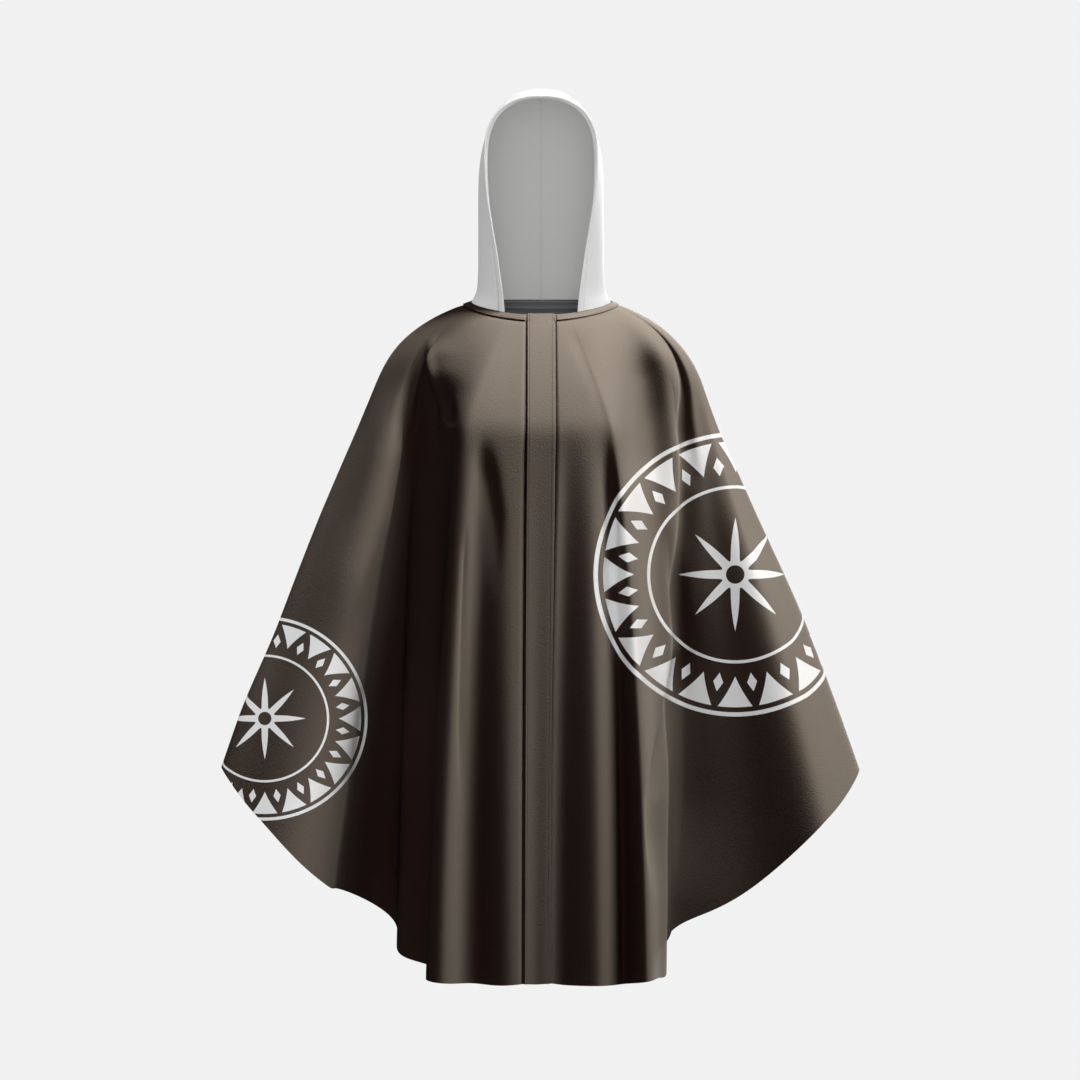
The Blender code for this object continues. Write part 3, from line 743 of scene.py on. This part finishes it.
# Brushed wool coating: a felted nap hides the weave, so the eye sees a fine soft grain, a near
# black red brown where it turns away and a broad taupe gloss where it faces the light. A real
# nap tuft is 0.5 mm across, and is drawn coarser so that the grain shows. The clouds are wide
# patches in which the nap lies a little differently.
COATING_DARK = "#1f0b0a"
COATING_LIGHT = "#271110"
COATING_LIGHT_INSIDE = "#25100f"
COATING_NAP_MM = 2.0
COATING_NAP_HEIGHT = 0.0007
COATING_NAP_STRENGTH = 0.6
COATING_CLOUD_MM = 26.0
COATING_CLOUD_SHARE = 0.35
NAP_GLOSS = "#ffeed8"
PRINT_WHITE = "#e9ebed"


def add_grain(tree, grain_mm, height, strength):
    """The fine grain of a cloth on its own place, and the relief that the grain gives it."""
    place = add_node(tree, "ShaderNodeTexCoord").outputs["Object"]
    spots = {"Vector": place, "Scale": MM_IN_M / grain_mm, "Detail": 2.0}
    grain = add_node(tree, "ShaderNodeTexNoise", spots)
    relief = {"Height": grain, "Strength": strength, "Distance": height}
    return place, grain, add_node(tree, "ShaderNodeBump", relief)


def make_coating(name, light=COATING_LIGHT, printed=False):
    """Brushed wool coating, plain or with the white medallion print."""
    material, tree, shader = new_material(name)
    place, nap, bump = add_grain(tree, COATING_NAP_MM, COATING_NAP_HEIGHT, COATING_NAP_STRENGTH)
    patches = {"Vector": place, "Scale": MM_IN_M / COATING_CLOUD_MM, "Detail": 3.0}
    cloud = add_node(tree, "ShaderNodeTexNoise", patches)
    grain = add_node(tree, "ShaderNodeMix", {0: COATING_CLOUD_SHARE, 2: nap, 3: cloud})
    mixed = {0: grain, 6: linear(COATING_DARK), 7: linear(light)}
    color = add_node(tree, "ShaderNodeMix", mixed, data_type="RGBA").outputs[2]
    if printed:
        mixed = {0: medallion_mask(tree), 6: color, 7: linear(PRINT_WHITE)}
        color = add_node(tree, "ShaderNodeMix", mixed, data_type="RGBA").outputs[2]
    set_inputs(tree, shader, {
        "Base Color": color, "Normal": bump, "Roughness": 0.9, "Specular IOR Level": 1.0,
        "Specular Tint": linear(NAP_GLOSS),
    })
    return material


# Cotton jersey and twill tape: fine matte threads, so the eye sees an even, faint grain and no
# gloss. A real knit loop is 0.7 mm across, and the grain is drawn coarser so that it shows.
THREAD_GRAIN_MM = 1.4
THREAD_GRAIN_HEIGHT = 0.0004
THREAD_GRAIN_STRENGTH = 0.15


def make_fine_cloth(name, dark, light):
    """The hood's cotton jersey or the facing's twill tape, with the grain of its threads."""
    material, tree, shader = new_material(name)
    _, grain, bump = add_grain(tree, THREAD_GRAIN_MM, THREAD_GRAIN_HEIGHT, THREAD_GRAIN_STRENGTH)
    mixed = {0: grain, 6: linear(dark), 7: linear(light)}
    color = add_node(tree, "ShaderNodeMix", mixed, data_type="RGBA").outputs[2]
    set_inputs(tree, shader, {
        "Base Color": color, "Normal": bump, "Roughness": 0.85, "Specular IOR Level": 0.2,
    })
    return material


# Topstitching: single stitches of thread, end to end along each sewn line. The placket's lines
# lie at a share of the way from its edges to its next columns.
STITCH_PITCH = 0.0034
STITCH_LENGTH = 0.0027
THREAD_RADIUS = 0.00028
THREAD_SIDES = 5
PLACKET_STITCH_SHARE = 0.6


def make_thread(name, color):
    """Spun thread, a little smoother than the cloth that it holds."""
    material, tree, shader = new_material(name)
    set_inputs(tree, shader, {
        "Base Color": linear(color), "Roughness": 0.6, "Specular IOR Level": 0.4,
    })
    return material


def stitch_tree():
    """Nodes that lay stitches end to end along the edges of a mesh."""
    tree = bpy.data.node_groups.new("stitches", "GeometryNodeTree")
    inputs = (
        ("Path", "NodeSocketGeometry"), ("Pitch", "NodeSocketFloat"), ("Length", "NodeSocketFloat"),
        ("Radius", "NodeSocketFloat"), ("Sides", "NodeSocketInt"), ("Thread", "NodeSocketMaterial"),
    )
    for name, kind in inputs:
        tree.interface.new_socket(name=name, in_out="INPUT", socket_type=kind)
    tree.interface.new_socket(name="Stitches", in_out="OUTPUT", socket_type="NodeSocketGeometry")
    given = add_node(tree, "NodeGroupInput").outputs
    curve = add_node(tree, "GeometryNodeMeshToCurve", {0: given["Path"]})
    pitches = {"Curve": curve, "Length": given["Pitch"]}
    spots = add_node(tree, "GeometryNodeCurveToPoints", pitches, mode="LENGTH")
    way = {"Vector": spots.outputs["Tangent"]}
    turn = add_node(tree, "FunctionNodeAlignRotationToVector", way, axis="Z")
    sizes = {"Vertices": given["Sides"], "Radius": given["Radius"], "Depth": given["Length"]}
    stitch = add_node(tree, "GeometryNodeMeshCylinder", sizes)
    copies = {"Points": spots, "Instance": stitch, "Rotation": turn}
    laid = add_node(tree, "GeometryNodeInstanceOnPoints", copies)
    real = add_node(tree, "GeometryNodeRealizeInstances", {0: laid})
    spun = {"Geometry": real, "Material": given["Thread"]}
    finished = add_node(tree, "GeometryNodeSetMaterial", spun)
    add_node(tree, "NodeGroupOutput", {0: finished})
    return tree


def add_stitches(node, paths, tree, thread):
    """The stitches in a node's cloth, as one piece with a row along each path of points."""
    corners, edges = [], []
    for path in paths:
        first = len(corners)
        corners += path.tolist()
        edges += [(first + step, first + step + 1) for step in range(len(path) - 1)]
    mesh = bpy.data.meshes.new(node + "_path")
    mesh.from_pydata(corners, edges, [])
    line = add_object(node + "_path", mesh)
    rows = line.modifiers.new("Stitches", "NODES")
    rows.node_group = tree
    values = {
        "Pitch": STITCH_PITCH, "Length": STITCH_LENGTH, "Radius": THREAD_RADIUS,
        "Sides": THREAD_SIDES, "Thread": thread,
    }
    for item in tree.interface.items_tree:
        if item.name in values:
            rows[item.identifier] = values[item.name]
    piece = add_object(node + "_stitches", finished_mesh(line))
    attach(piece, "root")
    return piece


# The cut of each cloth: its width and length lying flat, its area where the cut isn't a
# rectangle, and what it lies on.
Cut = namedtuple("Cut", "width length area rests_on")
CUTS = {
    "front_left": Cut(0.95, 1.01, 0.519, ()),
    "front_right": Cut(0.91, 0.99, 0.499, ()),
    "back": Cut(1.58, 1.05, 0.881, ()),
    "placket": Cut(0.038, 0.97, None, ("front_left", "front_right")),
    "neckband": Cut(0.53, 0.0105, None, ("front_left", "front_right", "back")),
    "neck_facing": Cut(0.30, 0.040, None, ("back",)),
    "hood_left": Cut(0.30, 0.36, 0.084, ("neckband",)),
    "hood_right": Cut(0.30, 0.36, 0.084, ("neckband",)),
}


def finish_cloth(node):
    """Hide the solid of the node that a piece of hanging cloth replaces, and look up its cut,
    which is not used further."""
    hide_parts(node)
    cut = CUTS[node]
    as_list(cut.rests_on)


# The body cloth: its points in rows down from the neck, the way out at each, the row of each
# stop, and the columns of the two overarms.
Body = namedtuple("Body", "points normals stops left_tip right_tip")


def make_body():
    """The body cloth with its creases and grooves."""
    points, stops, left_tip, right_tip = Cape().grid()
    points = soften(points, stops[FACING_STOP], left_tip, right_tip)
    points = add_creases(points, left_tip, right_tip)
    normals = outward(points, closed=True)
    return Body(add_grooves(points, stops), normals, stops, left_tip, right_tip)


def add_panels(body, printed, plain, inside):
    """The two fronts with a medallion each, and the plain back between them."""
    points, left_tip, right_tip = body.points, body.left_tip, body.right_tip
    columns = points.shape[1]
    left_print = print_map(points, left_tip, LEFT_MEDALLION)[:, :left_tip + 1]
    right_print = print_map(points, right_tip, RIGHT_MEDALLION)[:, right_tip:]
    last = 2 * right_print[:, -1:] - right_print[:, -2:-1]
    right_print = np.concatenate([right_print, last], axis=1)
    panels = (
        ("front_left", np.arange(left_tip + 1), printed, left_print),
        ("back", np.arange(left_tip, right_tip + 1), plain, None),
        ("front_right", np.arange(right_tip, columns + 1) % columns, printed, right_print),
    )
    for node, chosen, finish, places in panels:
        cloth = pulled_in(points[:, chosen])
        piece = add_cloth(node, cloth, [finish, inside], CLOTH, places)
        finish_cloth(node)


def add_placket(body, plain, tree, thread):
    """A strip over the closed front edges, stitched along both sides."""
    chosen = np.arange(-PLACKET_COLUMNS, PLACKET_COLUMNS + 1)
    normals = body.normals[:, chosen]
    strip = pulled_in(body.points[:, chosen]) + normals * (ON_TOP + PLACKET_CLOTH / 2)
    piece = add_cloth("placket", strip, [plain], PLACKET_CLOTH)
    raised = strip + normals * (PLACKET_CLOTH / 2)
    ends = ((raised[:, 0], raised[:, 1]), (raised[:, -1], raised[:, -2]))
    paths = [edge + (beside - edge) * PLACKET_STITCH_SHARE for edge, beside in ends]
    sewn = add_stitches("placket", paths, tree, thread)
    finish_cloth("placket")


def add_neckband(body, plain, tree, thread):
    """A strip over the neck seam, from one side of the placket round to the other."""
    foot = body.stops[BAND_STOP]
    chosen = np.arange(PLACKET_COLUMNS, body.points.shape[1] - PLACKET_COLUMNS + 1)
    neck, end = body.points[0, chosen], body.points[foot, chosen]
    start = neck + (end - neck) * BAND_START
    share = np.linspace(0.0, 1.0, foot + 1)[:, None, None]
    normals = body.normals[:foot + 1, chosen]
    strip = pulled_in(start * (1 - share) + end * share) + normals * (ON_TOP + BAND_CLOTH / 2)
    piece = add_cloth("neckband", strip, [plain], BAND_CLOTH)
    path = (strip[-1] + strip[-2]) / 2 + normals[-1] * (BAND_CLOTH / 2)
    sewn = add_stitches("neckband", [path], tree, thread)
    finish_cloth("neckband")


def add_neck_facing(body):
    """The tape inside the back neck, which shows through the hood's opening."""
    rows = slice(body.stops[FACING_STOP] + 1)
    nape = slice(body.left_tip, body.right_tip + 1)
    inward = -body.normals[rows, nape]
    strip = pulled_in(body.points[rows, nape]) + inward * (ON_TOP + BAND_CLOTH / 2)
    tape = make_fine_cloth("slate_twill_tape", "#9aa0a3", "#a6acaf")
    piece = add_cloth("neck_facing", strip, [tape], BAND_CLOTH)
    finish_cloth("neck_facing")


def add_body(tree):
    """The fronts, the back and what is sewn on them, all from one grid of points."""
    body = make_body()
    printed = make_coating("brushed_wool_coating_printed", printed=True)
    plain = make_coating("brushed_wool_coating")
    inside = make_coating("brushed_wool_coating_inside", COATING_LIGHT_INSIDE)
    thread = make_thread("brown_thread", "#2a1714")
    add_panels(body, printed, plain, inside)
    add_placket(body, plain, tree, thread)
    add_neckband(body, plain, tree, thread)
    add_neck_facing(body)


def hood_section(row):
    """Half a section of the hood, from the face edge round to the back seam."""
    ahead = np.array(HOOD_SHARES)
    behind = np.array(HOOD_TURNS)
    out = np.concatenate([
        row.width - (row.width - row.edge_out) * (1 - ahead) ** 2,
        row.width * np.cos(behind),
    ])
    depth = np.concatenate([
        row.edge_depth + (row.wide_at - row.edge_depth) * ahead,
        row.wide_at + (row.seam_depth - row.wide_at) * np.sin(behind),
    ])
    share = (depth - row.edge_depth) / (row.seam_depth - row.edge_depth)
    arch = row.arch * np.sin(math.pi * share)
    level = row.edge_level + (row.seam_level - row.edge_level) * share + arch
    return np.column_stack([out, depth, level])


def between_rows(points, steps):
    """The rows with steps - 1 more between each two, on a smooth curve through all of them."""
    tangents = np.gradient(points, axis=0)
    rows = []
    for start, end, way_out, way_in in zip(points, points[1:], tangents, tangents[1:]):
        for share in np.arange(steps) / steps:
            rows.append(smooth_part(share, start, end, way_out, way_in))
    rows.append(points[-1])
    return np.array(rows)


def add_hood_seams(points):
    """Roll the hem out along the face, down to its sunk line, and sink the middle seam."""
    normals = outward(points, closed=False)
    lift = np.zeros(points.shape[:2])
    roll = np.sin(np.linspace(HEM_ROLL_START, 1.0, HEM_LINE_COLUMN) * math.pi)
    lift[:, :HEM_LINE_COLUMN] = HEM_ROLL * roll
    beside_line = slice(HEM_LINE_COLUMN - 1, HEM_LINE_COLUMN + 2)
    lift[:, beside_line] = -HEM_LINE_DEPTH * np.array(HEM_LINE_SHAPE)
    lift[:, -1] = -HOOD_SEAM_DEPTH
    lift[0] -= HOOD_SEAM_DEPTH
    return points + normals * lift[..., None]


def add_hood(tree):
    """Two halves of the hood that meet in a seam over the crown and down the back. The mirrored
    half's columns run the other way, so that it faces out too."""
    ahead = FACE_TURN + (QUARTER_TURN - FACE_TURN) * np.array(HOOD_SHARES)
    behind = QUARTER_TURN + np.array(HOOD_TURNS)
    foot = neck_point(np.concatenate([ahead, behind])) + np.array([0.0, 0.0, HOOD_LIFT])
    sections = [hood_section(row) for row in (CROWN, *reversed(HOOD))]
    points = add_hood_seams(between_rows(np.array([*sections, foot]), HOOD_ROW_STEPS))
    points[0, :, 0] = points[:, -1, 0] = SEAM_OPENING / 2
    outer = make_fine_cloth("hood_jersey", "#e2e3e3", "#ebebeb")
    # The inside of the jersey is painted a little lighter than its outside: painted light that keeps the
    # shaded hollow of the hood bright.
    inner = make_fine_cloth("hood_jersey_inside_painted_light", "#ebebea", "#f0f0ef")
    thread = make_thread("white_thread", "#e4e4e2")
    normals = outward(points, closed=False)
    seam = points[:, HEM_LINE_COLUMN] + normals[:, HEM_LINE_COLUMN] * (CLOTH / 2)
    for node, side in (("hood_left", 1), ("hood_right", -1)):
        mirror = np.array([side, 1.0, 1.0])
        half = (points * mirror)[:, ::side]
        piece = add_cloth(node, half, [outer, inner], CLOTH, rim_inside=True)
        sewn = add_stitches(node, [seam * mirror], tree, thread)
        finish_cloth(node)


# Studio lights: the way to each from the cape, in degrees to the viewer's right and up, how wide
# it is, its strength in watts, and what it lights. A gloss light shows only in the nap's gloss
# and shapes the folds. A fill light shows only in the colours, and keeps the white print and the
# hood even.
Light = namedtuple("Light", "name right up width watts kind")
LIGHTS = (
    Light("key high right", 60, 66, 1.4, 1030, "gloss"),
    Light("side high right", 85, 58, 1.4, 150, "gloss"),
    Light("back low right", 160, 14, 1.6, 260, "gloss"),
    Light("fill front", 0, 5, 1.6, 26, "fill"),
    Light("fill right", 75, 30, 1.6, 26, "fill"),
    Light("fill top", 20, 78, 1.6, 80, "fill"),
)
LIGHTS_AIM = (0.0, 0.0, -0.35)
LIGHTS_DISTANCE = 4.0


def add_lights():
    """The studio's lights, each turned to the cape."""
    for entry in LIGHTS:
        light = bpy.data.lights.new(entry.name, "AREA")
        light.shape = "DISK"
        light.size = entry.width
        light.energy = entry.watts
        lamp = add_object(entry.name, light)
        lamp.visible_diffuse = entry.kind == "fill"
        lamp.visible_glossy = entry.kind == "gloss"
        right, up = math.radians(entry.right), math.radians(entry.up)
        way = Vector((math.sin(right) * math.cos(up), -math.cos(right) * math.cos(up), math.sin(up)))
        lamp.location = Vector(LIGHTS_AIM) + way * LIGHTS_DISTANCE
        lamp.rotation_euler = way.to_track_quat("Z", "Y").to_euler()


# The paper backdrop and floor. AMBIENT is how much of its light the backdrop gives the cape.
BACKDROP = "#f1f1f1"
AMBIENT = 0.58
FLOOR_LEVEL = -1.42
FLOOR_RADIUS = 1.6
FLOOR_SIDES = 64


def add_floor():
    """A round of pale paper under the cape: matte, and given the backdrop's own light, so that
    the eye sees no edge between them."""
    turns = np.linspace(0.0, 2 * math.pi, FLOOR_SIDES, endpoint=False)
    corners = [(FLOOR_RADIUS * math.cos(t), FLOOR_RADIUS * math.sin(t), FLOOR_LEVEL) for t in turns]
    mesh = bpy.data.meshes.new("paper_floor")
    mesh.from_pydata(corners, [], [list(range(FLOOR_SIDES))])
    material, tree, shader = new_material("matte_paper")
    set_inputs(tree, shader, {
        "Base Color": linear("#000000"), "Specular IOR Level": 0.0, "Roughness": 1.0,
        "Emission Color": linear(BACKDROP), "Emission Strength": 1.0,
    })
    mesh.materials.append(material)
    floor = add_object("paper_floor", mesh)
    floor.visible_glossy = False
    floor.visible_diffuse = False
    floor.visible_shadow = False


def add_stage():
    """A pale backdrop that lights the cape only a little."""
    world = bpy.data.worlds.new("studio")
    bpy.context.scene.world = world
    world.use_nodes = True
    world.cycles_visibility.glossy = False
    tree = world.node_tree
    seen = add_node(tree, "ShaderNodeLightPath").outputs["Is Camera Ray"]
    strength = add_node(tree, "ShaderNodeMix", {0: seen, 2: AMBIENT, 3: 1.0})
    set_inputs(tree, tree.nodes["Background"], {0: linear(BACKDROP), 1: strength})


def add_camera():
    """The viewer, who looks level at the front from far off."""
    camera = add_object("camera", bpy.data.cameras.new("camera"))
    camera.data.sensor_width = SENSOR_WIDTH
    camera.data.lens = SENSOR_WIDTH * VIEWER_DISTANCE / VIEW_WIDTH
    camera.location = (VIEWER_OUT, -VIEWER_DISTANCE, VIEWER_LEVEL)
    camera.rotation_euler = (QUARTER_TURN, 0.0, 0.0)
    bpy.context.scene.camera = camera


def main():
    """The dressed cape, its lights, its stage and its camera."""
    add_camera()
    tree = stitch_tree()
    add_body(tree)
    add_hood(tree)
    add_lights()
    add_stage()
    add_floor()
    bpy.context.scene.view_settings.view_transform = "Standard"


main()
